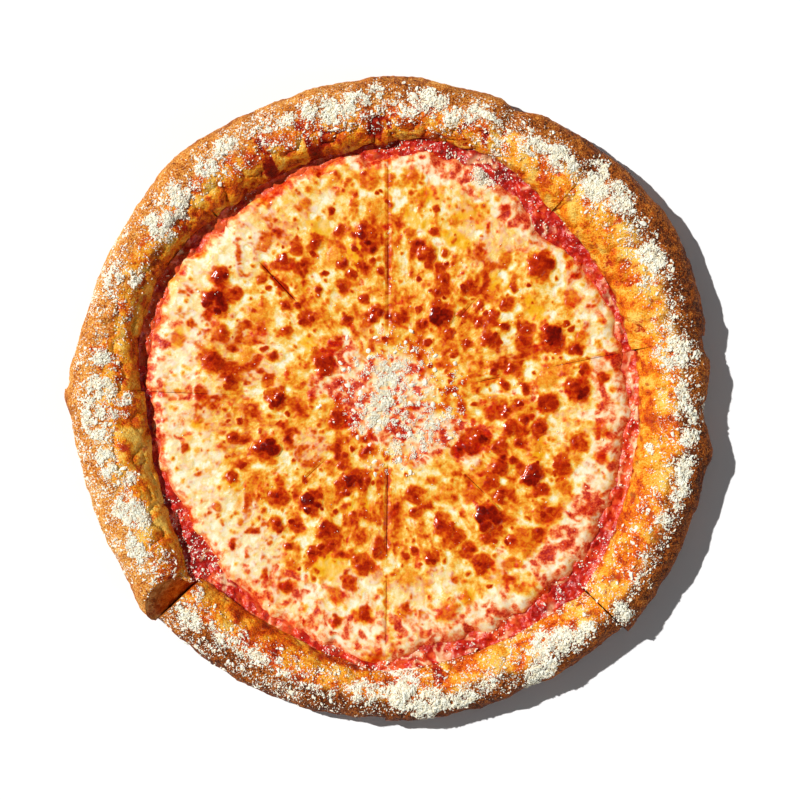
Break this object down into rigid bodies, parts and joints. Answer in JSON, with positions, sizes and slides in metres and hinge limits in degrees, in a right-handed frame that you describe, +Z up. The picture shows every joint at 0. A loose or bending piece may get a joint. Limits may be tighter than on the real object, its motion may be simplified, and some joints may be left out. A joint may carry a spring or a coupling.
{
  "type": "cheese pizza",
  "caption": "Round baked cheese pizza cut into slices that lie together: puffed browned rim, tomato sauce and melted blistered cheese, dusted with grated hard cheese.",
  "frame": {"origin": "middle of the outline, on the flat underside that the pizza rests on", "axes": "+Z up through the toppings; +X towards the right of the picture and +Y towards its top"},
  "size_m": [0.3512, 0.352, 0.0298],
  "materials": {
    "crust": "baked dough, matt, browned in patches",
    "sauce": "cooked tomato sauce, wet and slightly lumpy",
    "cheese": "melted mozzarella, oily, blistered and browned"
  },
  "bodies": {
    "root": {"crust_1": "crust", "crust_2": "crust", "crust_3": "crust", "crust_4": "crust", "crust_5": "crust", "crust_6": "crust", "crust_7": "crust", "crust_8": "crust", "sauce_1": "sauce", "sauce_2": "sauce", "sauce_3": "sauce", "sauce_4": "sauce", "sauce_5": "sauce", "sauce_6": "sauce", "sauce_7": "sauce", "sauce_8": "sauce", "cheese_1": "cheese", "cheese_2": "cheese", "cheese_3": "cheese", "cheese_4": "cheese", "cheese_5": "cheese", "cheese_6": "cheese", "cheese_7": "cheese", "cheese_8": "cheese"}
  },
  "joints": []
}
